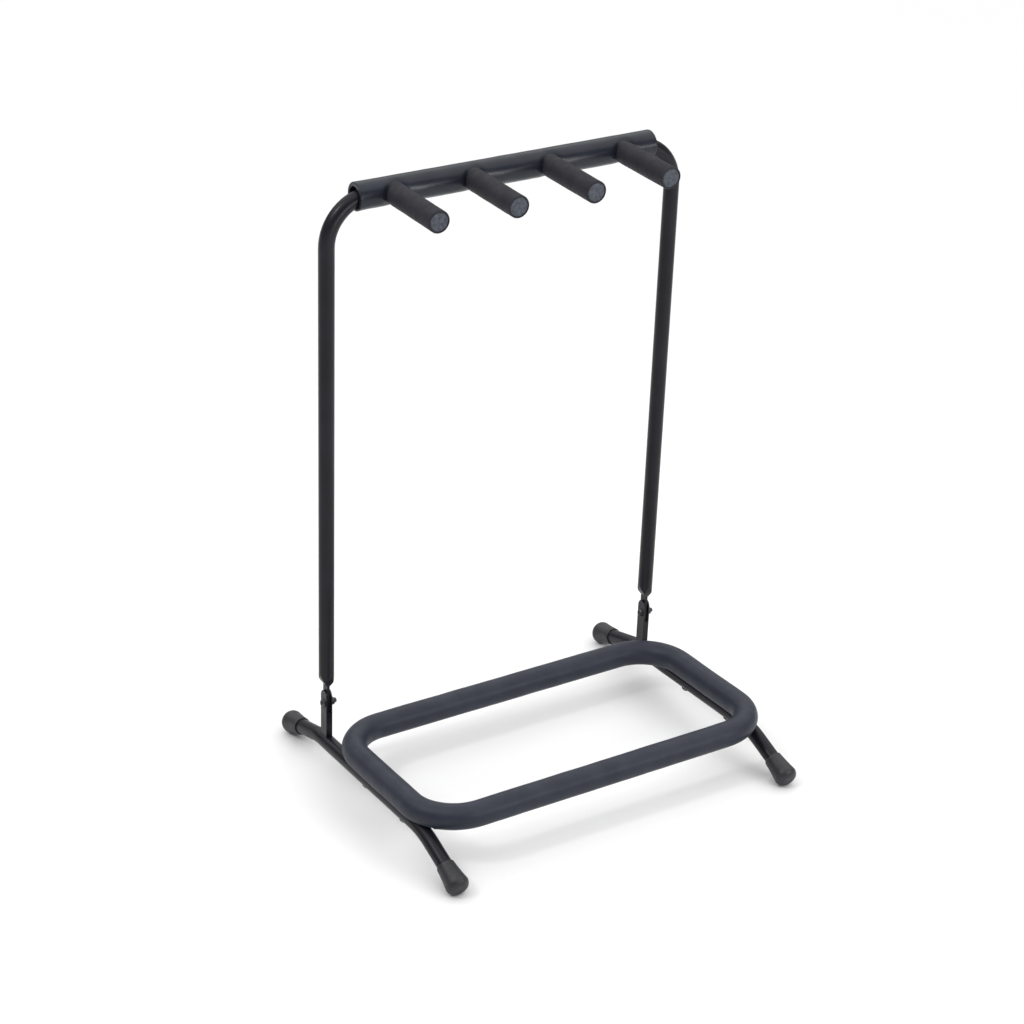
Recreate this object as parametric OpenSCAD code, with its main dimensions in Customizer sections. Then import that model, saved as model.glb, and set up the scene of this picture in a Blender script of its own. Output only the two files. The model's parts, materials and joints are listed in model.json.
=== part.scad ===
// Folding rack that holds three guitars side by side: a level foam-covered loop
// carries the bodies, and four padded pegs on a hinged frame part the necks.
// Millimetres, +Z up, +X to the right as seen from the front, -Y to the front.
// The origin is on the floor, under the centre of the rack's bounding box.

/* [Stand] */
// Distance between the centre lines of the two sides
stand_w = 412; // [380:1:450]
// Height of the folding hinge's axis above the floor
hinge_z = 79.5; // [77:0.5:84]
// Forward lean of the raised neck frame in degrees
lean = 1.2; // [0:0.1:2.5]

/* [Legs] */
// Outer diameter of the leg tubes
leg_d = 16.7; // [15:0.1:18]
// Wall of every steel tube
tube_wall = 1.2; // [1:0.1:1.6]
// Height of the leg's centre line under the middle of the loop
leg_z = 35.2; // [34:0.2:38]
// Rise of the legs towards the front in degrees
leg_pitch = 2.1; // [0:0.1:3]
// Down slope of the front leg end in degrees
front_slope = 20.8; // [18:0.1:26]
// Down slope of the rear leg end in degrees
rear_slope = 15.1; // [13:0.1:20]
// From the middle of the loop to the corner of the front bend
front_bend_y = 79; // [76:1:90]
// From the middle of the loop to the corner of the rear bend
rear_bend_y = 147; // [146:1:154]

/* [Feet] */
// Length of a rubber foot
foot_len = 33; // [28:1:36]
// Diameter of a foot at its mouth
foot_mouth_d = 19.6; // [19:0.2:22]
// Largest diameter of a foot
foot_d = 25.4; // [24:0.2:28]

/* [Loop] */
// From the hinge axis forward to the middle of the loop
loop_y = 131.3; // [130:0.1:136]
// Depth of the loop between its tube centres
loop_depth = 211; // [190:1:215]
// Bend radius of the loop's corners
loop_r = 51; // [45:1:60]
// Outer diameter of the foam on the loop
loop_foam_d = 27.6; // [26:0.2:30]
// Height of the loop's centre line above the legs' centre line
loop_rise = 17.3; // [17.1:0.1:19]

/* [Neck frame] */
// Outer diameter of the frame tube and the loop tube
tube_d = 16.7; // [14:0.1:17]
// From the hinge axis up to the centre line of the top bar
frame_h = 573; // [500:1:650]
// Bend radius of the top corners
bend_r = 49; // [42:1:60]
// Length of the foam sleeve on the top bar
sleeve_len = 350; // [344:1:354]
// Outer diameter of the foam sleeve
sleeve_d = 28.8; // [27:0.2:31]

/* [Pegs] */
// Distance from one peg to the next
peg_pitch = 90; // [84:1:96]
// From the centre line of the top bar to the peg's tip
peg_reach = 97.5; // [80:0.5:100]
// Outer diameter of the foam on a peg
peg_foam_d = 23.6; // [21:0.2:25]
// Diameter of the peg's steel tube
peg_tube_d = 12.8; // [12:0.1:14]

/* [Hinge] */
// Inside width of the hinge bracket's channel
channel_gap = 4; // [3.9:0.1:4.6]
// Sheet thickness of the hinge bracket
sheet = 1.6; // [1.4:0.1:2]
// Depth of the hinge bracket from the face of its web to its rear edges
bracket_depth = 12.6; // [12.4:0.1:14]
// Height of the bracket's ears above the hinge axis
ear_h = 16; // [12:0.5:16]
// Diameter of the hinge bolts
bolt_d = 5; // [4.5:0.1:5.5]

/* [Hidden] */
$fn = 64;

side_x = stand_w / 2;
slip = 0.05;              // radial running clearance on the hinge bolts
function snap(v) = round(v * 100) / 100;

// The turn near a whose sine and cosine stay true when they are rounded to six
// decimals, so that a bend and the rods on either side of it meet face to face
function six(v) = round(v * 1e6) / 1e6;
function off_true(a) = abs(pow(six(sin(a)), 2) + pow(six(cos(a)), 2) - 1);
function true_turn(a) =
    let (tries = [for (k = [-500:500]) a + k / 10000], best = min([for (t = tries) off_true(t)]))
    [for (t = tries) if (off_true(t) == best) t][0];

// Feet: a cone, then an edge rounded in a quarter circle, then a flat end
foot_round = 8;
foot_cone = foot_len - foot_round;
foot_face_r = foot_d / 2 - foot_round;
foot_socket = 22;         // how far a leg tube goes into its foot
foot_flat = 0.4;          // depth of the flat that the foot stands on
function foot_drop(slope) = foot_cone * sin(slope) + foot_face_r * cos(slope) + foot_round;
function foot_reach(slope) = foot_cone * cos(slope) + foot_face_r * sin(slope) + foot_round;

// Legs: from a bend's corner down to the mouth of the foot
front_bend_r = 90;
rear_bend_r = 55;
front_turn = true_turn(front_slope + leg_pitch);
rear_turn = true_turn(rear_slope - leg_pitch);
front_fall = front_turn - leg_pitch;
rear_fall = rear_turn + leg_pitch;
front_tangent = snap(front_bend_r * tan(front_turn / 2));
rear_tangent = snap(rear_bend_r * tan(rear_turn / 2));
front_corner_z = leg_z + front_bend_y * sin(leg_pitch);
rear_corner_z = leg_z - rear_bend_y * sin(leg_pitch);
front_run = snap((front_corner_z - foot_drop(front_fall) + foot_flat) / sin(front_fall));
rear_run = snap((rear_corner_z - foot_drop(rear_fall) + foot_flat) / sin(rear_fall));

// The bounding box is centred on y = 0
front_end = loop_y + front_bend_y * cos(leg_pitch) + front_run * cos(front_fall) + foot_reach(front_fall);
rear_end = rear_bend_y * cos(leg_pitch) - loop_y + rear_run * cos(rear_fall) + foot_reach(rear_fall);
hinge_y = (front_end - rear_end) / 2;

// Loop
loop_hx = side_x - loop_r;
loop_hy = loop_depth / 2 - loop_r;
screw_ys = [-40, 40];
screw_d = 6;
insert_d = 9;

// Hinge
channel_w = channel_gap + 2 * sheet;
web_face = 6.7;           // from the hinge axis forward to the outer face of the web
web_drop = 9.5;           // from the hinge axis down to the top edge of the web
tongue_t = 2.8;
tongue_w = 9.6;
tongue_drop = 12.5;       // from the hinge axis down to the tongue's end
tongue_corner = 2;
crimp_z = 22;             // where the flattened tongue ends, above the hinge axis
crimp_len = 18;
washer_t = 0.5;
washer_d = 9;
head_d = 9.6;
head_h = 3.4;
nut_af = 8;
nut_h = 4.2;
nut_collar_d = 7;
nut_len = 6.2;
bolt_tip = 1.4;           // how far the bolt stands out of its nut

// Top bar and pegs
sleeve_relief = 22;       // depth of the wider bore at each end of the sleeve
peg_xs = [for (i = [0:3]) (i - 1.5) * peg_pitch];
peg_edge = 1.6;           // rounding of the foam at a peg's tip
plug_d = peg_foam_d - 2 * peg_edge - 0.4;
plug_t = 3;
plug_stem = 12;

STEEL = [0.13, 0.13, 0.15];
FOAM = [0.27, 0.29, 0.33];
RUBBER = [0.16, 0.16, 0.17];
PLUG = [0.33, 0.36, 0.41];

// ---- Shared shapes --------------------------------------------------------

// Places things in the raised neck frame: Z runs up the uprights from the hinge
module in_frame() {
    translate([0, hinge_y, hinge_z]) rotate([lean, 0, 0]) children();
}

// Places things on the legs: the origin is under the middle of the loop,
// on the plane of the legs' centre lines
module in_base() {
    translate([0, hinge_y - loop_y, leg_z]) rotate([-leg_pitch, 0, 0]) children();
}

// A straight rod along X between two stations
module rod_x(x0, x1, d) {
    translate([x0, 0, 0]) rotate([0, 90, 0]) cylinder(d = d, h = x1 - x0);
}

// A rod bent down by an angle: it starts at the origin, heading along +X
module bent_rod(r, turn, d) {
    reach = 3 * r;
    translate([0, 0, -r]) difference() {
        rotate([90, 0, 0]) rotate_extrude($fn = 96) translate([r, 0]) circle(d = d, $fn = 64);
        translate([-reach, -reach / 2, -reach / 2]) cube([reach, reach, reach]);
        rotate([0, turn, 0]) translate([0, -reach / 2, -reach / 2]) cube([reach, reach, reach]);
    }
}

// Goes to the far end of such a bend
module past_bend(r, turn) {
    translate([0, 0, -r]) rotate([0, turn, 0]) translate([0, 0, r]) children();
}

// ---- Base -----------------------------------------------------------------

// Goes to where the rod of a leg ends its bend; tangent is the bend's length before its corner
module past_leg_bend(corner, tangent, r, turn) {
    translate([corner - tangent, 0, 0]) past_bend(r, turn) children();
}

module leg_rod(d, extra) {
    rotate([0, 0, 90]) {
        rod_x(front_tangent - front_bend_y, rear_bend_y - rear_tangent, d);
        translate([rear_bend_y - rear_tangent, 0, 0]) bent_rod(rear_bend_r, rear_turn, d);
        past_leg_bend(rear_bend_y, rear_tangent, rear_bend_r, rear_turn)
            rod_x(0, rear_run - rear_tangent + foot_socket + extra, d);
    }
    rotate([0, 0, -90]) {
        translate([front_bend_y - front_tangent, 0, 0]) bent_rod(front_bend_r, front_turn, d);
        past_leg_bend(front_bend_y, front_tangent, front_bend_r, front_turn)
            rod_x(0, front_run - front_tangent + foot_socket + extra, d);
    }
}

module leg(x) {
    color(STEEL) in_base() translate([x, 0, 0]) difference() {
        leg_rod(leg_d, 0);
        leg_rod(leg_d - 2 * tube_wall, 1);
        for (y = screw_ys) translate([0, y, -leg_d]) cylinder(d = screw_d + 0.4, h = 2 * leg_d);
    }
}

module foot_body() {
    cylinder(d1 = foot_mouth_d, d2 = foot_d, h = foot_cone);
    translate([0, 0, foot_cone]) rotate_extrude() intersection() {
        union() {
            translate([foot_face_r, 0]) circle(r = foot_round);
            square([foot_face_r, foot_round]);
        }
        square([foot_d, foot_round]);
    }
}

// A foot on one end of a leg; the floor cuts a small flat into its rim
module foot(x, heading, corner, tangent, r, turn, run) {
    color(RUBBER) difference() {
        in_base() translate([x, 0, 0]) rotate([0, 0, heading]) past_leg_bend(corner, tangent, r, turn)
            translate([run - tangent, 0, 0]) rotate([0, 90, 0]) difference() {
                foot_body();
                translate([0, 0, -1]) cylinder(d = leg_d, h = foot_socket + 1);
            }
        translate([-stand_w, -stand_w, -20]) cube([2 * stand_w, 2 * stand_w, 20]);
    }
}

module front_foot(x) {
    foot(x, -90, front_bend_y, front_tangent, front_bend_r, front_turn, front_run);
}

module rear_foot(x) {
    foot(x, 90, rear_bend_y, rear_tangent, rear_bend_r, rear_turn, rear_run);
}

// A solid ring with rounded corners, in the plane of the loop
module loop_rod(d) {
    for (s = [-1, 1]) {
        translate([0, s * loop_depth / 2, 0]) rod_x(-loop_hx, loop_hx, d);
        translate([s * side_x, 0, 0]) rotate([0, 0, 90]) rod_x(-loop_hy, loop_hy, d);
    }
    for (q = [0:3]) {
        sx = (q == 0 || q == 3) ? 1 : -1;
        sy = q < 2 ? 1 : -1;
        translate([sx * loop_hx, sy * loop_hy, 0])
            rotate_extrude(angle = 90, start = 90 * q, $fn = 96) translate([loop_r, 0]) circle(d = d);
    }
}

module at_screws() {
    in_base() for (x = [-side_x, side_x], y = screw_ys) translate([x, y, 0]) children();
}

module loop_tube() {
    color(STEEL) difference() {
        in_base() translate([0, 0, loop_rise]) loop_rod(tube_d);
        in_base() translate([0, 0, loop_rise]) loop_rod(tube_d - 2 * tube_wall);
        at_screws() cylinder(d = insert_d, h = loop_rise);
    }
}

// The foam is pressed onto the legs, so it is hollowed to their shape
module loop_foam() {
    color(FOAM) difference() {
        in_base() translate([0, 0, loop_rise]) loop_rod(loop_foam_d);
        in_base() translate([0, 0, loop_rise]) loop_rod(tube_d);
        in_base() for (x = [-side_x, side_x])
            translate([x, 0, 0]) rotate([0, 0, 90]) rod_x(-loop_depth, loop_depth, leg_d);
        at_screws() cylinder(d = insert_d, h = loop_rise);
    }
}

// Button-headed screws come up through the legs into the loop
module loop_screws() {
    color(STEEL) at_screws() difference() {
        union() {
            translate([0, 0, -leg_d / 2 - 2.4]) cylinder(d1 = 7, d2 = 10.5, h = 2.4);
            translate([0, 0, -leg_d / 2 - 0.01]) cylinder(d = screw_d, h = leg_d / 2 + loop_rise);
        }
        translate([0, 0, -leg_d / 2 - 3]) cylinder(d = 4.6, h = 2.6, $fn = 6);
    }
}

module loop_inserts() {
    color(STEEL) at_screws() translate([0, 0, leg_d / 2 + 0.2]) difference() {
        cylinder(d = insert_d, h = loop_rise - leg_d / 2);
        translate([0, 0, -1]) cylinder(d = screw_d, h = loop_rise);
    }
}

// ---- Hinge ----------------------------------------------------------------

// Side outline of a bracket: Y is depth, Z is height, with rounded ear tops
module ear_outline() {
    ear_r = bracket_depth / 2 - 0.6;
    foot_z = leg_z - hinge_z - leg_d;
    translate([-web_face, foot_z]) square([bracket_depth, ear_h - ear_r - foot_z]);
    intersection() {
        translate([bracket_depth / 2 - web_face, ear_h - ear_r]) circle(r = ear_r);
        translate([-web_face, ear_h - ear_r - 1]) square([bracket_depth, ear_r + 1]);
    }
}

// A channel that is open to the rear. The tongue's end hooks behind the web in
// its front, which keeps the frame from going backwards.
module hinge_bracket(x) {
    color(STEEL) difference() {
        in_frame() translate([x, 0, 0]) difference() {
            translate([-channel_w / 2, 0, 0]) rotate([90, 0, 90]) linear_extrude(channel_w) ear_outline();
            translate([-channel_gap / 2, sheet - web_face, -hinge_z])
                cube([channel_gap, 2 * bracket_depth, 2 * hinge_z]);
            translate([-channel_gap / 2, -2 * web_face, -web_drop])
                cube([channel_gap, 2 * bracket_depth, hinge_z]);
            rod_x(-channel_w, channel_w, bolt_d + 2 * slip);
        }
        in_base() translate([x, 0, 0]) rotate([0, 0, 90]) rod_x(0, loop_depth, leg_d);
        in_base() translate([x - leg_d / 2, 0, -3 * leg_d]) cube([leg_d, loop_depth, 3 * leg_d]);
    }
}

// The bolt's head is on the -X face of its bracket
module hinge_bolt(x) {
    tip = channel_w / 2 + nut_len + bolt_tip;
    color(STEEL) in_frame() translate([x, 0, 0]) difference() {
        union() {
            rod_x(-channel_w / 2 - 0.01, tip, bolt_d);
            translate([-channel_w / 2, 0, 0]) rotate([0, -90, 0]) button_head();
        }
        translate([-channel_w / 2 - head_h - 1, 0, 0]) rotate([0, 90, 0]) cylinder(d = 3.4, h = 2.6, $fn = 6);
    }
}

// A dome: the part of a ball that stands above the head's rim
module button_head() {
    rise = head_h - 0.6;
    ball_r = (rise * rise + head_d * head_d / 4) / (2 * rise);
    cylinder(d = head_d, h = 0.6);
    translate([0, 0, 0.6]) intersection() {
        translate([0, 0, rise - ball_r]) sphere(r = ball_r);
        cylinder(d = head_d, h = rise + 1);
    }
}

// A lock nut: a hexagon with a round collar
module hinge_nut(x) {
    color(STEEL) in_frame() translate([x + channel_w / 2, 0, 0]) rotate([0, 90, 0]) difference() {
        union() {
            cylinder(d = nut_af / cos(30), h = nut_h, $fn = 6);
            translate([0, 0, nut_h]) cylinder(d1 = nut_collar_d + 0.6, d2 = nut_collar_d - 1, h = nut_len - nut_h);
        }
        translate([0, 0, -1]) cylinder(d = bolt_d, h = nut_len + 2);
    }
}

// Thin plastic washers keep each tongue in the middle of its channel
module hinge_washers() {
    color([0.2, 0.2, 0.21]) in_frame() for (x = [-side_x, side_x], s = [-1, 1])
        translate([x + s * (channel_gap - washer_t) / 2, 0, 0]) difference() {
            rod_x(-washer_t / 2, washer_t / 2, washer_d);
            rod_x(-washer_t, washer_t, bolt_d + 2 * slip);
        }
}

// ---- Neck frame -----------------------------------------------------------

// Half width of the crimped tube end between its tongue and the full tube
function crimp_half(u, tongue_half) = tongue_half + (tube_d / 2 + 0.1 - tongue_half) * (1 - pow(1 - u, 2));

// What the press takes off one side of the tube's end, as an outline
module crimp_waste(tongue_half) {
    steps = 10;
    polygon(concat(
        [for (i = [0:steps]) [crimp_half(i / steps, tongue_half), crimp_z + crimp_len * i / steps]],
        [[tube_d, crimp_z + crimp_len], [tube_d, crimp_z - 1], [tongue_half, crimp_z - 1]]));
}

module upright_end() {
    for (s = [0, 180]) rotate([0, 0, s]) {
        translate([0, tube_d, 0]) rotate([90, 0, 0]) linear_extrude(2 * tube_d) crimp_waste(tongue_t / 2);
        translate([-tube_d, 0, 0]) rotate([90, 0, 90]) linear_extrude(2 * tube_d) crimp_waste(tongue_w / 2);
    }
}

// The bent part of the frame tube as a rod: two uprights, two bends and the bar
module arch_rod(d, low) {
    for (s = [-1, 1]) {
        translate([s * side_x, 0, low]) cylinder(d = d, h = frame_h - bend_r - low);
        translate([s * (side_x - bend_r), 0, frame_h - bend_r]) rotate([90, 0, 0])
            rotate_extrude(angle = 90, start = s > 0 ? 0 : 90, $fn = 96)
                translate([bend_r, 0]) circle(d = d);
    }
    translate([0, 0, frame_h]) rod_x(bend_r - side_x, side_x - bend_r, d);
}

module tongue() {
    flat = tongue_w - 2 * tongue_corner;
    translate([-tongue_t / 2, 0, 0]) rotate([90, 0, 90]) linear_extrude(tongue_t) {
        translate([-tongue_w / 2, tongue_corner - tongue_drop])
            square([tongue_w, crimp_z + tongue_drop - tongue_corner + 0.5]);
        translate([-flat / 2, -tongue_drop]) square([flat, 2 * tongue_corner]);
        for (s = [-1, 1]) translate([s * flat / 2, tongue_corner - tongue_drop]) circle(r = tongue_corner);
    }
}

module neck_frame() {
    color(STEEL) in_frame() difference() {
        union() {
            difference() {
                arch_rod(tube_d, crimp_z);
                arch_rod(tube_d - 2 * tube_wall, crimp_z + crimp_len);
                for (x = [-side_x, side_x]) translate([x, 0, 0]) upright_end();
            }
            for (x = [-side_x, side_x]) translate([x, 0, 0]) tongue();
        }
        for (x = [-side_x, side_x]) translate([x, 0, 0]) rod_x(-tongue_t, tongue_t, bolt_d + 2 * slip);
    }
}

// A rod from the bar's centre line out to the front
module rod_front(from, to, d) {
    translate([0, -from, 0]) rotate([90, 0, 0]) cylinder(d = d, h = to - from);
}

module bar_sleeve() {
    color(FOAM) in_frame() translate([0, 0, frame_h]) difference() {
        rod_x(-sleeve_len / 2, sleeve_len / 2, sleeve_d);
        rod_x(-sleeve_len, sleeve_len, tube_d);
        for (s = [0, 180]) rotate([0, 0, s]) translate([0, 0, -1])
            rod_x(sleeve_len / 2 - sleeve_relief, sleeve_len, tube_d + 5);
        for (x = peg_xs) translate([x, 0, 0]) rod_front(0, sleeve_d, peg_tube_d);
    }
}

module at_peg(i) {
    in_frame() translate([peg_xs[i], 0, frame_h]) children();
}

// Welded to the front of the bar and cut to its shape
module peg_tube(i) {
    color(STEEL) at_peg(i) difference() {
        rod_front(0, peg_reach - plug_t, peg_tube_d);
        rod_front(-1, peg_reach, peg_tube_d - 2 * tube_wall);
        rod_x(-peg_pitch / 2, peg_pitch / 2, tube_d);
    }
}

module peg_foam(i) {
    edge_y = peg_reach - peg_edge;
    color(FOAM) at_peg(i) difference() {
        union() {
            rod_front(0, edge_y, peg_foam_d);
            translate([0, -edge_y, 0]) rotate([90, 0, 0]) rotate_extrude() intersection() {
                union() {
                    translate([peg_foam_d / 2 - peg_edge, 0]) circle(r = peg_edge);
                    square([peg_foam_d / 2 - peg_edge, peg_edge]);
                }
                square([peg_foam_d, peg_edge]);
            }
        }
        rod_front(-1, peg_reach + 1, peg_tube_d);
        rod_front(peg_reach - plug_t, peg_reach + 1, plug_d);
        rod_x(-peg_pitch / 2, peg_pitch / 2, sleeve_d);
    }
}

// Closes the end of the foam, with a stem in the peg's tube
module peg_plug(i) {
    color(PLUG) at_peg(i) {
        rod_front(peg_reach - plug_t, peg_reach - 0.3, plug_d);
        rod_front(peg_reach - plug_t - plug_stem, peg_reach - plug_t + 0.1, peg_tube_d - 2 * tube_wall);
    }
}

leg(-side_x);  // left_leg
leg(side_x);  // right_leg
front_foot(-side_x);  // left_front_foot
rear_foot(-side_x);  // left_rear_foot
front_foot(side_x);  // right_front_foot
rear_foot(side_x);  // right_rear_foot
loop_tube();
loop_foam();
loop_screws();
loop_inserts();
hinge_bracket(-side_x);  // left_hinge_bracket
hinge_bracket(side_x);  // right_hinge_bracket
hinge_bolt(-side_x);  // left_hinge_bolt
hinge_bolt(side_x);  // right_hinge_bolt
hinge_nut(-side_x);  // left_hinge_nut
hinge_nut(side_x);  // right_hinge_nut
hinge_washers();
neck_frame();
bar_sleeve();
peg_tube(0);  // peg_tube_1
peg_tube(1);  // peg_tube_2
peg_tube(2);  // peg_tube_3
peg_tube(3);  // peg_tube_4
peg_foam(0);  // peg_foam_1
peg_foam(1);  // peg_foam_2
peg_foam(2);  // peg_foam_3
peg_foam(3);  // peg_foam_4
peg_plug(0);  // peg_plug_1
peg_plug(1);  // peg_plug_2
peg_plug(2);  // peg_plug_3
peg_plug(3);  // peg_plug_4
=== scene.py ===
"""Looks of the folding guitar rack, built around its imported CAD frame.

The steel parts keep their CAD shapes and get new finishes. The foam on the loop,
the top bar and the pegs, the discs in the pegs' tips and the rubber feet are
modelled here in their CAD solids' places. Lengths are metres, as in the frame.
"""

import json
import math

import bmesh
import bpy
from mathutils import Matrix, Vector, noise


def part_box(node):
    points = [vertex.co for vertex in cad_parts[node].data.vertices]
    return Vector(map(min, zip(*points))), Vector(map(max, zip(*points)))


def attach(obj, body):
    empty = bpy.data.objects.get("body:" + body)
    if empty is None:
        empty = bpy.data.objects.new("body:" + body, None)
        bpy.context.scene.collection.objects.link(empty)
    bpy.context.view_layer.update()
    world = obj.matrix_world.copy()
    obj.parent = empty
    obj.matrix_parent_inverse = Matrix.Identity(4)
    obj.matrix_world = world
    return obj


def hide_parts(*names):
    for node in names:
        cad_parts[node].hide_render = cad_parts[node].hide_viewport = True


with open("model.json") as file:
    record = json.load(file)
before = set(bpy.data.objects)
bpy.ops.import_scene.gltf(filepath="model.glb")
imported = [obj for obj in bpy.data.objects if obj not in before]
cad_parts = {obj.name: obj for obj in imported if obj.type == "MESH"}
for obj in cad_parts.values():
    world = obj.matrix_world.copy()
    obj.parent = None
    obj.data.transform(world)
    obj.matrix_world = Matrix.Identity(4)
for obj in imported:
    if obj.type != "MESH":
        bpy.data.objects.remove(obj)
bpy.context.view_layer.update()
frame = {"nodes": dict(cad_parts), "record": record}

MM = 0.001
TAU = 2 * math.pi
BASE = "base"
NECK = "neck_frame_body"

# Sizes that the CAD source gives
TUBE_R = 8.35 * MM
LEG_PITCH = math.radians(2.1)
FRONT_FALL = math.radians(20.8)
REAR_FALL = math.radians(15.1)
TOP_BEND_R = 49 * MM
LOOP_BEND_R = 51 * MM
LOOP_RISE = 17.3 * MM
PEG_COUNT = 4


def centre_of(node):
    low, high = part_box(node)
    return (low + high) / 2


def size_of(node):
    low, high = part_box(node)
    return high - low


# ---- Places, all from the CAD frame -----------------------------------------

hinge = Vector(frame["record"]["behaviour"]["joints"][0]["pos_m"])
bar = centre_of("bar_sleeve")
side = Vector((1, 0, 0))
up = (bar - hinge).normalized()
front = up.cross(side)
if front.y > 0:
    front = -front

loop = centre_of("loop_tube")
loop_size = size_of("loop_tube")
loop_half_x = loop_size.x / 2 - TUBE_R
loop_half_y = (loop_size.y / 2 - TUBE_R) / math.cos(LEG_PITCH)
loop_turn = Matrix.Rotation(-LEG_PITCH, 3, "X")


# ---- Mesh helpers -----------------------------------------------------------

def skinned(name, rings, joined=False, capped=False):
    """An object whose surface joins successive rings of points, closed end to end or capped."""
    mesh = bmesh.new()
    rows = [[mesh.verts.new(p) for p in ring] for ring in rings]
    count = len(rows[0])
    spans = list(zip(rows, rows[1:]))
    if joined:
        spans.append((rows[-1], rows[0]))
    for a, b in spans:
        for i in range(count):
            j = (i + 1) % count
            mesh.faces.new((a[i], a[j], b[j], b[i]))
    if capped:
        for row in (rows[0], rows[-1]):
            middle = mesh.verts.new(sum((v.co for v in row), Vector()) / count)
            for i in range(count):
                mesh.faces.new((row[i], row[(i + 1) % count], middle))
    bmesh.ops.recalc_face_normals(mesh, faces=mesh.faces)
    for face in mesh.faces:
        face.smooth = True
    data = bpy.data.meshes.new(name)
    mesh.to_mesh(data)
    mesh.free()
    piece = bpy.data.objects.new(name, data)
    bpy.context.scene.collection.objects.link(piece)
    return piece


def arc(radius, steps):
    """Points of a quarter circle about its centre, from (radius, 0) to (0, radius)."""
    angles = [TAU / 4 * i / steps for i in range(steps + 1)]
    return [(radius * math.cos(a), radius * math.sin(a)) for a in angles]


def evenly(low, high, step):
    """Values from low to high, both among them, about a step apart."""
    count = max(1, round((high - low) / step))
    return [low + (high - low) * i / count for i in range(count + 1)]


def uneven(point, scale, amount):
    """The small waviness of moulded foam: a smooth noise, the same in every run.

    scale is in waves per metre and amount in metres.
    """
    return amount * noise.noise(point * scale)


def finish_piece(piece, material, body, slot, *nodes):
    """Gives a new piece its material and body, and hides the CAD nodes it stands for."""
    piece.data.materials.append(material)
    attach(piece, body)
    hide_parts(*nodes)


# ---- Materials --------------------------------------------------------------

def made_of(name, tones, mottle, rough, grain, relief, cells=False, **sockets):
    """A procedural finish: two tones mixed by noise, uneven gloss, and a fine relief.

    mottle and grain are noise scales per metre, rough is (glossiest, dullest),
    relief is the depth of the grain in metres, and sockets are constant values.
    """
    material = bpy.data.materials.new(name)
    material.use_nodes = True
    nodes = material.node_tree.nodes
    link = material.node_tree.links.new
    shader = nodes["Principled BSDF"]
    for socket, value in sockets.items():
        shader.inputs[socket.replace("_", " ")].default_value = value
    place = nodes.new("ShaderNodeTexCoord").outputs["Object"]

    def noise_at(scale, detail):
        node = nodes.new("ShaderNodeTexNoise")
        node.inputs["Scale"].default_value = scale
        node.inputs["Detail"].default_value = detail
        link(place, node.inputs["Vector"])
        return node.outputs["Fac"]

    ramp = nodes.new("ShaderNodeValToRGB")
    ramp.color_ramp.elements[0].position = 0.35
    ramp.color_ramp.elements[1].position = 0.65
    for element, tone in zip(ramp.color_ramp.elements, tones):
        element.color = (*tone, 1)
    link(noise_at(mottle, 4), ramp.inputs["Fac"])
    link(ramp.outputs["Color"], shader.inputs["Base Color"])

    gloss = nodes.new("ShaderNodeMapRange")
    gloss.inputs["From Min"].default_value = 0.3
    gloss.inputs["From Max"].default_value = 0.7
    gloss.inputs["To Min"].default_value, gloss.inputs["To Max"].default_value = rough
    # The gloss varies on a finer scale than the tone
    link(noise_at(mottle * 2.7, 3), gloss.inputs["Value"])
    link(gloss.outputs["Result"], shader.inputs["Roughness"])

    if cells:
        pits = nodes.new("ShaderNodeTexVoronoi")
        pits.feature = "SMOOTH_F1"
        pits.inputs["Scale"].default_value = grain
        link(place, pits.inputs["Vector"])
        height = pits.outputs["Distance"]
    else:
        height = noise_at(grain, 2)
    bump = nodes.new("ShaderNodeBump")
    bump.inputs["Strength"].default_value = 1.0
    bump.inputs["Distance"].default_value = relief
    link(height, bump.inputs["Height"])
    link(bump.outputs["Normal"], shader.inputs["Normal"])
    return material


STEEL = made_of(
    "black_powder_coat", [(0.0072, 0.0066, 0.0100), (0.0108, 0.0100, 0.0145)],
    mottle=30, rough=(0.29, 0.37), grain=900, relief=0.00003,
    Specular_IOR_Level=0.22,
)
FOAM = made_of(
    "blue_black_foam", [(0.0165, 0.0195, 0.0325), (0.0220, 0.0260, 0.0415)],
    mottle=45, rough=(0.42, 0.52), grain=1500, relief=0.00008, cells=True,
    Specular_IOR_Level=0.30,
)
SLEEVE_FOAM = made_of(
    "smooth_blue_black_foam", [(0.0125, 0.0150, 0.0235), (0.0165, 0.0200, 0.0305)],
    mottle=45, rough=(0.285, 0.36), grain=1500, relief=0.00004, cells=True,
    Specular_IOR_Level=0.28,
)
PEG_FOAM = made_of(
    "charcoal_foam", [(0.0160, 0.0155, 0.0215), (0.0215, 0.0208, 0.0285)],
    mottle=60, rough=(0.62, 0.76), grain=1500, relief=0.00012, cells=True,
    Specular_IOR_Level=0.25,
)
PLUG = made_of(
    "grey_blue_disc", [(0.016, 0.019, 0.028), (0.050, 0.061, 0.084)],
    mottle=300, rough=(0.50, 0.70), grain=900, relief=0.00015, cells=True,
)
RUBBER = made_of(
    "black_rubber", [(0.0110, 0.0112, 0.0145), (0.0170, 0.0172, 0.0215)],
    mottle=120, rough=(0.42, 0.54), grain=1200, relief=0.00005,
)
HARDWARE = made_of(
    "black_oxide", [(0.030, 0.030, 0.033), (0.110, 0.110, 0.118)],
    mottle=300, rough=(0.28, 0.40), grain=1500, relief=0.00002, Metallic=0.8,
)
WASHER = made_of(
    "black_nylon", [(0.016, 0.016, 0.018), (0.024, 0.024, 0.027)],
    mottle=200, rough=(0.40, 0.52), grain=1500, relief=0.00002,
)

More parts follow.
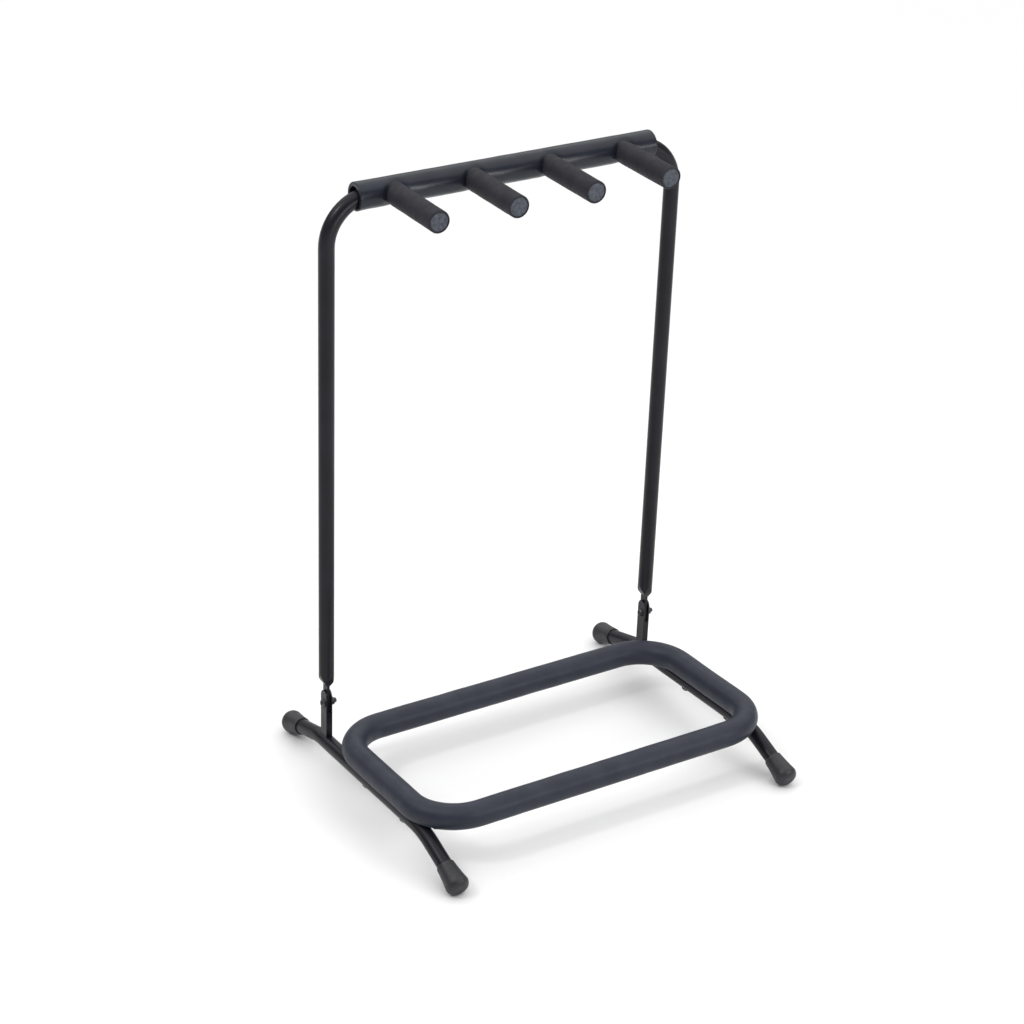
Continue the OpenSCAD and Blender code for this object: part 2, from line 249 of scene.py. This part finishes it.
CAD_FINISHES = {
    STEEL: [
        "left_leg", "right_leg", "loop_tube", "neck_frame",
        "left_hinge_bracket", "right_hinge_bracket",
        *[f"peg_tube_{i + 1}" for i in range(PEG_COUNT)],
    ],
    HARDWARE: [
        "loop_screws", "loop_inserts", "left_hinge_bolt", "right_hinge_bolt",
        "left_hinge_nut", "right_hinge_nut",
    ],
    WASHER: ["hinge_washers"],
}
for finish, names in CAD_FINISHES.items():
    for name in names:
        for entry in frame["nodes"][name].material_slots:
            entry.material = finish


# ---- Foam on the loop -------------------------------------------------------

LOOP_FOAM_R = 13.8 * MM
LOOP_STEP = 3 * MM
LOOP_SIDES = 56
LOOP_WAVES = 38
LOOP_WAVE = 0.22 * MM
BULGE = 0.5 * MM
BULGE_REACH = 4 * MM


def loop_stations():
    """Points of the loop's centre line and the directions outward from it, in the loop's plane."""
    hx = loop_half_x - LOOP_BEND_R
    hy = loop_half_y - LOOP_BEND_R
    corners = [Vector(c) for c in ((hx, hy, 0), (-hx, hy, 0), (-hx, -hy, 0), (hx, -hy, 0))]
    quarter = TAU / 4
    stations = []
    for k, corner in enumerate(corners):
        for a in evenly(quarter * k, quarter * (k + 1), LOOP_STEP / LOOP_BEND_R)[:-1]:
            out = Vector((math.cos(a), math.sin(a), 0))
            stations.append((corner + LOOP_BEND_R * out, out))
        out = Vector((math.cos(quarter * (k + 1)), math.sin(quarter * (k + 1)), 0))
        start = corner + LOOP_BEND_R * out
        end = corners[(k + 1) % 4] + LOOP_BEND_R * out
        for t in evenly(0, 1, LOOP_STEP / (end - start).length)[:-1]:
            stations.append((start.lerp(end, t), out))
    return stations


def loop_foam():
    """The loop's foam, one closed tube that the two legs dent from below."""
    rings = []
    for middle, out in loop_stations():
        ring = []
        for i in range(LOOP_SIDES):
            a = TAU * i / LOOP_SIDES
            way = math.cos(a) * out + math.sin(a) * Vector((0, 0, 1))
            point = middle + LOOP_FOAM_R * way
            point += uneven(point, LOOP_WAVES, LOOP_WAVE) * way
            # The leg tube runs under each side bar, and the foam is pressed to its shape
            across = abs(point.x) - loop_half_x
            above = point.z + LOOP_RISE
            reach = math.hypot(across, above)
            gap = reach - TUBE_R
            if gap < 0:
                push = TUBE_R / reach
                point.x = math.copysign(loop_half_x + across * push, point.x)
                point.z = above * push - LOOP_RISE
            elif gap < BULGE_REACH:
                point += BULGE * (1 - gap / BULGE_REACH) ** 2 * way
            ring.append(loop + loop_turn @ point)
        rings.append(ring)
    piece = skinned("loop_padding", rings, joined=True)
    finish_piece(piece, FOAM, BASE, "foam", "loop_foam")


loop_foam()


# ---- Foam sleeve on the top bar ---------------------------------------------

SLEEVE_R = 14.4 * MM
SLEEVE_HALF = size_of("bar_sleeve").x / 2
SLEEVE_STEP = 1.5 * MM
SLEEVE_SIDES = 84
SLEEVE_EDGE = 0.9 * MM
BORE_DEPTH = 22 * MM
BORE_RIM = 1 * MM
BORE_R = 10.4 * MM
PEG_R = 11.8 * MM
PINCH = 1.5 * MM
PINCH_REACH = 2.6 * MM
PRESS = 0.25
SLEEVE_WAVES = 45
SLEEVE_WAVE = 0.2 * MM
WAVE_STRETCH = 3
peg_xs = [centre_of(f"peg_tube_{i + 1}").x for i in range(PEG_COUNT)]
bend_start = size_of("neck_frame").x / 2 - TUBE_R - TOP_BEND_R


def tube_drop(x):
    """How far the bent tube has fallen below the bar's line at this distance from the middle."""
    past = min(max(abs(x) - bend_start, 0), TOP_BEND_R)
    return TOP_BEND_R - math.sqrt(TOP_BEND_R ** 2 - past ** 2)


def sleeve_point(x, radius, a):
    """A point of the sleeve; the angle starts at the front and runs upward."""
    return bar + x * side + radius * (math.cos(a) * front + math.sin(a) * up)


def sleeve_ring(x, edge):
    """A ring of the outside; edge is how far the rounded end pulls it in."""
    ring = []
    for i in range(SLEEVE_SIDES):
        a = TAU * i / SLEEVE_SIDES
        radius = SLEEVE_R - edge
        height = radius * math.sin(a)
        facing = math.sqrt(max(math.cos(a), 0))
        for peg_x in peg_xs:
            clear = math.hypot(x - peg_x, height) - PEG_R
            radius -= facing * PINCH * math.exp(-(max(clear, 0) / PINCH_REACH) ** 2)
        # The bent tube presses the wall down at the sleeve's ends
        radius += PRESS * tube_drop(x) * max(-math.sin(a), 0) ** 3
        # The foam waves more round the bar than along it
        spot = Vector((x, WAVE_STRETCH * math.cos(a) * SLEEVE_R, WAVE_STRETCH * height))
        radius += uneven(spot, SLEEVE_WAVES, SLEEVE_WAVE)
        ring.append(sleeve_point(x, radius, a))
    return ring


def bore_ring(x, share):
    """A ring of the bore: tight on the tube at share 0, open above it at share 1."""
    high = TUBE_R + share * (BORE_R - TUBE_R)
    low = TUBE_R + tube_drop(x)
    reach = (high + low) / 2
    middle = bar + x * side + (high - low) / 2 * up
    ring = []
    for i in range(SLEEVE_SIDES):
        a = TAU * i / SLEEVE_SIDES
        ring.append(middle + high * math.cos(a) * front + reach * math.sin(a) * up)
    return ring


def bar_sleeve():
    """The foam tube on the top bar, with rounded rims and a bore that widens at its ends."""
    edge = [(SLEEVE_EDGE - along, SLEEVE_EDGE - across) for along, across in arc(SLEEVE_EDGE, 4)]
    half = SLEEVE_HALF
    body_half = half - SLEEVE_EDGE
    outside = [sleeve_ring(-half + along, inset) for along, inset in edge]
    outside += [sleeve_ring(x, 0) for x in evenly(-body_half, body_half, SLEEVE_STEP)[1:-1]]
    outside += [sleeve_ring(half - along, inset) for along, inset in reversed(edge)]
    bore = [
        (half, 1.0),
        (half - BORE_RIM, 1.0),
        (half - 0.6 * BORE_DEPTH, 0.8),
        (half - BORE_DEPTH, 0.0),
    ]
    inside = [bore_ring(x, share) for x, share in bore]
    inside += [bore_ring(-x, share) for x, share in reversed(bore)]
    piece = skinned("bar_padding", outside + inside, joined=True)
    finish_piece(piece, SLEEVE_FOAM, NECK, "foam", "bar_sleeve")


bar_sleeve()


# ---- Padded pegs ------------------------------------------------------------

PEG_SIDES = 64
PEG_STEP = 3 * MM
PEG_EDGE = 1.7 * MM
PEG_SUNK = 1.8 * MM
PEG_START = SLEEVE_R + 2.5 * MM
# The foam's foot: how far it is drawn in, and how deep it lies in the sleeve
PEG_SEAT = [(1.0 * MM, PEG_SUNK), (0.5 * MM, 0.6 * MM), (0.15 * MM, -0.8 * MM)]
PEG_WAVES = 60
PEG_WAVE = 0.18 * MM
PEG_STEM_R = 6.4 * MM
PEG_TUBE_BORE = 5.2 * MM
PLUG_R = 10.0 * MM
PLUG_SLIP = 0.1 * MM
PLUG_THICK = 3 * MM
PLUG_STEM = 15 * MM
PLUG_EDGE = 0.7 * MM
PLUG_SUNK = 0.5 * MM
PLUG_CROWN = 0.25 * MM
RECESS_LIP = 0.3 * MM
RECESS_FLARE = 0.05 * MM


def peg_point(x, radius, a, reach):
    """A point at an angle about a peg's axis, at a distance in front of the bar's middle."""
    return bar + (x + radius * math.cos(a)) * side + radius * math.sin(a) * up + reach * front


def flat_ring(x, radius, reach):
    return [peg_point(x, radius, TAU * i / PEG_SIDES, reach) for i in range(PEG_SIDES)]


def seated_ring(x, radius, depth):
    """A ring that follows the sleeve's round surface, sunk into it by a depth."""
    ring = []
    for i in range(PEG_SIDES):
        a = TAU * i / PEG_SIDES
        reach = math.sqrt((SLEEVE_R - depth) ** 2 - (PEG_R * math.sin(a)) ** 2)
        ring.append(peg_point(x, radius, a, reach))
    return ring


def wavy_ring(x, radius, reach):
    middle = bar + x * side + reach * front
    ring = []
    for point in flat_ring(x, radius, reach):
        ring.append(point + uneven(point, PEG_WAVES, PEG_WAVE) * (point - middle).normalized())
    return ring


def peg_foam(x, tip):
    """Rings of a peg's foam, from its seat on the sleeve to the recess for its disc."""
    rings = [seated_ring(x, PEG_STEM_R, PEG_SUNK)]
    rings += [seated_ring(x, PEG_R - inset, depth) for inset, depth in PEG_SEAT]
    shoulder = tip - PEG_EDGE
    rings += [wavy_ring(x, PEG_R, reach) for reach in evenly(PEG_START, shoulder, PEG_STEP)]
    rings += [
        flat_ring(x, PEG_R - PEG_EDGE + out, shoulder + along)
        for out, along in arc(PEG_EDGE, 6)[1:]
    ]
    rings += [
        flat_ring(x, PLUG_R + RECESS_FLARE, tip - RECESS_LIP),
        flat_ring(x, PLUG_R, tip - PLUG_THICK),
        flat_ring(x, PEG_STEM_R, tip - PLUG_THICK),
    ]
    return rings


def peg_disc(x, tip):
    """Rings of a disc with a stem in the peg's tube and a slightly crowned face."""
    face = tip - PLUG_SUNK
    rim = PLUG_R - PLUG_SLIP
    rings = [
        flat_ring(x, PEG_TUBE_BORE, tip - PLUG_STEM),
        flat_ring(x, PEG_TUBE_BORE, tip - PLUG_THICK),
        flat_ring(x, rim, tip - PLUG_THICK),
        flat_ring(x, rim, face - PLUG_EDGE),
    ]
    rings += [
        flat_ring(x, rim - PLUG_EDGE + out, face - PLUG_EDGE + along)
        for out, along in arc(PLUG_EDGE, 4)[1:]
    ]
    rings += [
        flat_ring(x, PLUG_R * share, face + PLUG_CROWN * (1 - share ** 2))
        for share in (0.8, 0.6, 0.4, 0.2, 0.05)
    ]
    return rings


def peg(number, x):
    node = f"peg_foam_{number}"
    tip = (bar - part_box(node)[0]).y / -front.y
    foam = skinned(f"peg_padding_{number}", peg_foam(x, tip), joined=True)
    finish_piece(foam, PEG_FOAM, NECK, "peg_foam", node)
    disc = skinned(f"peg_disc_{number}", peg_disc(x, tip), capped=True)
    finish_piece(disc, PLUG, NECK, "plug", f"peg_plug_{number}")


for number, peg_x in enumerate(peg_xs, 1):
    peg(number, peg_x)


# ---- Rubber feet ------------------------------------------------------------

FOOT_SIDES = 64
FOOT_MOUTH_R = 9.8 * MM
FOOT_R = 12.7 * MM
FOOT_LEN = 33 * MM
FOOT_ROUND = 8 * MM
FOOT_CONE = FOOT_LEN - FOOT_ROUND
FOOT_FACE_R = FOOT_R - FOOT_ROUND
FOOT_LIP = 1.0 * MM
FOOT_HOLLOW = 0.35 * MM
FOOT_SLIP = 0.03 * MM
SOCKET_DEPTH = 4 * MM
SOCKET_EDGE = 0.4 * MM
SOCKET_CENTRE_R = 0.2 * MM
FLOOR_FLAT = 0.4 * MM
# A groove behind the mouth's bead: distance from the mouth, and height over its radius
GROOVE = [(2.4 * MM, 0.15 * MM), (3.0 * MM, -0.1 * MM)]
CONE_START = 0.16
CONE_STEP = 0.07


def foot(name, sign, slope, node):
    """A flared cap along a leg's falling end; sign is -1 at the front and 1 at the rear."""
    low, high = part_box(node)
    along = Vector((0, sign * math.cos(slope), -math.sin(slope)))
    lift = Vector((0, sign * math.sin(slope), math.cos(slope)))
    # The rounded end gives both the farthest point and the floor's touch
    far = high.y if sign > 0 else low.y
    ball_y = far - sign * FOOT_ROUND
    end = Vector((
        (low.x + high.x) / 2,
        ball_y - sign * FOOT_FACE_R * math.sin(slope),
        FOOT_ROUND - FLOOR_FLAT + FOOT_FACE_R * math.cos(slope),
    ))
    mouth = end - FOOT_CONE * along

    def ring(reach, radius):
        points = []
        for i in range(FOOT_SIDES):
            a = TAU * i / FOOT_SIDES
            point = mouth + reach * along + radius * (math.cos(a) * side + math.sin(a) * lift)
            point.z = max(point.z, 0.0)
            points.append(point)
        return points

    socket = TUBE_R + FOOT_SLIP
    rings = [
        ring(SOCKET_DEPTH, SOCKET_CENTRE_R),
        ring(SOCKET_DEPTH, socket),
        ring(SOCKET_EDGE, socket),
    ]
    rings += [
        ring(FOOT_LIP - deep, FOOT_MOUTH_R - FOOT_LIP + out)
        for deep, out in arc(FOOT_LIP, 4)
    ]
    rings += [ring(reach, FOOT_MOUTH_R + out) for reach, out in GROOVE]
    # The cone hollows slightly at its middle
    for share in evenly(CONE_START, 1, CONE_STEP):
        hollow = FOOT_HOLLOW * math.sin(math.pi * share)
        radius = FOOT_MOUTH_R + (FOOT_R - FOOT_MOUTH_R) * share - hollow
        rings.append(ring(FOOT_CONE * share, radius))
    rings += [
        ring(FOOT_CONE + deep, FOOT_FACE_R + out)
        for out, deep in arc(FOOT_ROUND, 12)[1:]
    ]
    rings += [ring(FOOT_LEN, FOOT_FACE_R * share) for share in (0.7, 0.4, 0.1)]
    piece = skinned(name, rings, capped=True)
    finish_piece(piece, RUBBER, BASE, "rubber", node)


foot("cap_front_left", -1, FRONT_FALL, "left_front_foot")
foot("cap_front_right", -1, FRONT_FALL, "right_front_foot")
foot("cap_rear_left", 1, REAR_FALL, "left_rear_foot")
foot("cap_rear_right", 1, REAR_FALL, "right_rear_foot")


# ---- Floor, light and camera ------------------------------------------------

def stage_floor():
    """A wide sheet of plain white paper."""
    bpy.ops.mesh.primitive_plane_add(size=30)
    floor = bpy.context.object
    floor.name = "floor"
    paper = bpy.data.materials.new("white_floor")
    paper.use_nodes = True
    shader = paper.node_tree.nodes["Principled BSDF"]
    shader.inputs["Base Color"].default_value = (0.88, 0.88, 0.88, 1)
    shader.inputs["Roughness"].default_value = 0.9
    shader.inputs["Specular IOR Level"].default_value = 0.1
    floor.data.materials.append(paper)


def aimed(name, lamp, place, aim):
    """Hangs a lamp at a place, pointed at another, out of the camera's sight."""
    light = bpy.data.objects.new(name, lamp)
    light.location = place
    light.rotation_euler = (Vector(aim) - Vector(place)).to_track_quat("-Z", "Y").to_euler()
    light.visible_camera = False
    bpy.context.scene.collection.objects.link(light)


def softbox(name, place, aim, size, power, spread):
    """A rectangular light with a grid, which keeps it to a cone of so many degrees."""
    lamp = bpy.data.lights.new(name, "AREA")
    lamp.shape = "RECTANGLE"
    lamp.size, lamp.size_y = size
    lamp.energy = power
    lamp.spread = math.radians(spread)
    aimed(name, lamp, place, aim)


def overhead(name, place, strength, spread):
    """A distant round light, which lights the whole floor alike; spread is its width in degrees."""
    lamp = bpy.data.lights.new(name, "SUN")
    lamp.energy = strength
    lamp.angle = math.radians(spread)
    aimed(name, lamp, place, (0, 0, 0))


stage_floor()
world = bpy.data.worlds.new("studio")
world.use_nodes = True
backdrop = world.node_tree.nodes["Background"]
backdrop.inputs["Color"].default_value = (1, 1, 1, 1)
# Above the floor's edge the backdrop looks white, but it lights the rack softly
seen = world.node_tree.nodes.new("ShaderNodeLightPath").outputs["Is Camera Ray"]
shine = world.node_tree.nodes.new("ShaderNodeMapRange")
shine.inputs["To Min"].default_value = 0.24
shine.inputs["To Max"].default_value = 1.0
world.node_tree.links.new(seen, shine.inputs["Value"])
world.node_tree.links.new(shine.outputs["Result"], backdrop.inputs["Strength"])
bpy.context.scene.world = world
overhead("key", (0.3, 0.6, 2.6), 2.9, 114)
softbox("front_box", (0.45, -1.3, 0.66), bar + 0.1 * side, (1.7, 0.16), 2.4, 80)
softbox("left_box", (-1.8, 0.1, 2.4), bar - 0.2 * side, (0.3, 0.5), 0.8, 40)
softbox("low_box", (0.75, -1.5, 0.75), loop, (0.6, 0.4), 2.0, 120)


def camera():
    """Stands where the photograph was taken from, as solved from the rack's straight tubes."""
    azimuth, elevation, roll = (math.radians(a) for a in (-32.135, 26.612, 1.419))
    back = Vector((
        math.sin(azimuth) * math.cos(elevation),
        -math.cos(azimuth) * math.cos(elevation),
        math.sin(elevation),
    ))
    right = Vector((math.cos(azimuth), math.sin(azimuth), 0))
    top = back.cross(right)
    right, top = (
        math.cos(roll) * right + math.sin(roll) * top,
        math.cos(roll) * top - math.sin(roll) * right,
    )
    distance = 2.69697
    aim = hinge + Vector((0, -0.1, 0.2205)) - 0.03393 * right + 0.00513 * top
    data = bpy.data.cameras.new("camera")
    data.sensor_width = 36
    data.lens = 90.55
    data.shift_x = 0.00094
    data.shift_y = -0.00265
    view = bpy.data.objects.new("camera", data)
    turn = Matrix((right, top, back)).transposed().to_4x4()
    view.matrix_world = Matrix.Translation(aim + distance * back) @ turn
    bpy.context.scene.collection.objects.link(view)
    bpy.context.scene.camera = view


camera()
bpy.context.scene.view_settings.view_transform = "Standard"
